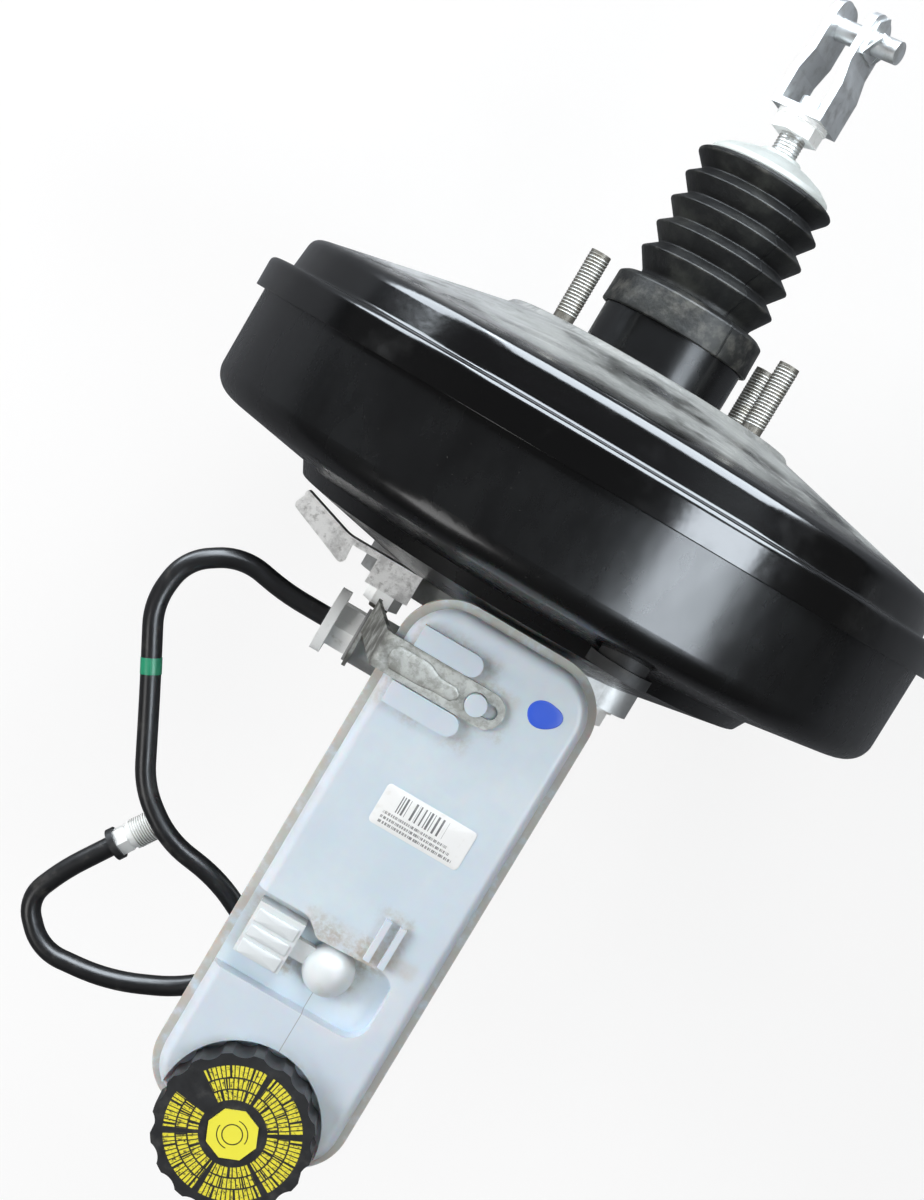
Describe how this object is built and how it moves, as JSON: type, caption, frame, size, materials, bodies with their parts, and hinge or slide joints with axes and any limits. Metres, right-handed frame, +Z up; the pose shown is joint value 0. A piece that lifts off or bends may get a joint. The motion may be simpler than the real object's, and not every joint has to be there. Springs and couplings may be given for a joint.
{
  "type": "vacuum brake booster",
  "caption": "Round vacuum brake booster with bellows, clevis push rod, master cylinder, fluid reservoir with screw cap, and a bent brake pipe.",
  "frame": {"origin": "centre of the rear mounting face, on the booster's axis", "axes": "+Y along the axis towards the pedal, +Z up through the filler cap, +X to the right seen from the pedal's side with the cap up"},
  "size_m": [0.292, 0.484, 0.292],
  "materials": {
    "black_paint": "gloss black paint, dusty on the rear",
    "zinc": "zinc plated steel",
    "galvanised": "mottled galvanised sheet",
    "cast_metal": "cast, as machined",
    "spring_steel": "oiled spring steel",
    "clear_plastic": "milky translucent plastic",
    "white_plastic": "white moulded plastic",
    "black_plastic": "black moulded plastic",
    "brown_plastic": "phenolic moulding",
    "pale_plastic": "pale greenish plastic",
    "rubber": "moulded rubber",
    "boot_rubber": "dusty rubber",
    "sleeve": "black plastic sleeve over steel pipe",
    "felt": "felt filter",
    "foam": "closed foam"
  },
  "bodies": {
    "housing": {"front_shell": "black_paint", "rear_shell": "black_paint", "neck_sleeve": "black_paint", "bulkhead_studs": "zinc", "cylinder_studs": "zinc", "cylinder_nuts": "zinc", "front_seal": "rubber", "neck_seal": "rubber", "vacuum_grommet": "rubber", "cylinder_body": "cast_metal", "cylinder_circlip": "spring_steel", "reservoir_grommets": "rubber", "reservoir_lower": "clear_plastic", "reservoir_upper": "clear_plastic", "reservoir_strap": "galvanised", "pipe_union": "zinc", "brake_pipe": "sleeve", "pipe_end_nut": "zinc", "nut_collar": "black_plastic", "level_sensor": "white_plastic", "harness_bracket": "galvanised", "dust_boot": "boot_rubber", "diaphragm": "rubber", "return_spring": "spring_steel", "primary_spring": "spring_steel", "secondary_spring": "spring_steel"},
    "power_piston": {"valve_body": "brown_plastic", "diaphragm_plate": "zinc", "reaction_disc": "rubber", "output_rod": "zinc", "air_filter": "felt", "poppet_valve": "rubber", "poppet_retainer": "zinc", "poppet_spring": "spring_steel", "rod_spring": "spring_steel", "stop_key": "zinc"},
    "valve_plunger": {"valve_plunger": "zinc"},
    "input_rod": {"input_rod": "zinc", "lock_nut": "zinc", "clevis": "zinc", "spring_clip": "spring_steel", "boot_end_disc": "pale_plastic"},
    "clevis_pin": {"clevis_pin": "zinc"},
    "primary_piston": {"primary_piston": "cast_metal", "primary_cups": "rubber"},
    "secondary_piston": {"secondary_piston": "cast_metal", "secondary_cups": "rubber"},
    "level_float": {"level_float": "foam"},
    "cap_seal": {"cap_seal": "rubber"},
    "filler_cap": {"filler_cap": "black_plastic"}
  },
  "joints": [
    {"name": "brake_stroke", "type": "slide", "parent": "housing", "child": "power_piston", "axis": [0, -1, 0], "range_m": [0, 0.034], "stiffness_N_per_m": 2500, "springref_m": -0.04, "deforming": ["dust_boot", "return_spring", "diaphragm"]},
    {"name": "valve_stroke", "type": "slide", "parent": "power_piston", "child": "valve_plunger", "axis": [0, -1, 0], "range_m": [0, 0.0015], "stiffness_N_per_m": 3000, "springref_m": -0.004, "deforming": ["rod_spring"]},
    {"name": "rod_swing", "type": "hinge", "parent": "valve_plunger", "child": "input_rod", "pos_m": [0, -0.013, 0], "axis": [0.866, 0, 0.5], "range_deg": [-3, 3], "stiffness_Nm_per_rad": 30},
    {"name": "pin_turn", "type": "hinge", "parent": "input_rod", "child": "clevis_pin", "pos_m": [0, 0.1485, 0], "axis": [0.866, 0, 0.5], "continuous": true},
    {"name": "primary_stroke", "type": "slide", "parent": "housing", "child": "primary_piston", "axis": [0, -1, 0], "range_m": [0, 0.034], "deforming": ["primary_spring"]},
    {"name": "secondary_stroke", "type": "slide", "parent": "housing", "child": "secondary_piston", "axis": [0, -1, 0], "range_m": [0, 0.017], "deforming": ["secondary_spring"]},
    {"name": "float_rise", "type": "slide", "parent": "housing", "child": "level_float", "axis": [0, 0, 1], "range_m": [0, 0.022]},
    {"name": "cap_lift", "type": "slide", "parent": "housing", "child": "cap_seal", "axis": [0, 0, 1], "range_m": [0, 0.01]},
    {"name": "cap_turn", "type": "hinge", "parent": "cap_seal", "child": "filler_cap", "pos_m": [0.0038, -0.297, 0.1], "axis": [0, 0, 1], "range_deg": [0, 540]}
  ],
  "couplings": [
    {"joint": "primary_stroke", "follows": "brake_stroke", "ratio": 1},
    {"joint": "secondary_stroke", "follows": "brake_stroke", "ratio": 0.5},
    {"joint": "cap_lift", "follows": "cap_turn", "m_per_rad": 0.001061}
  ]
}
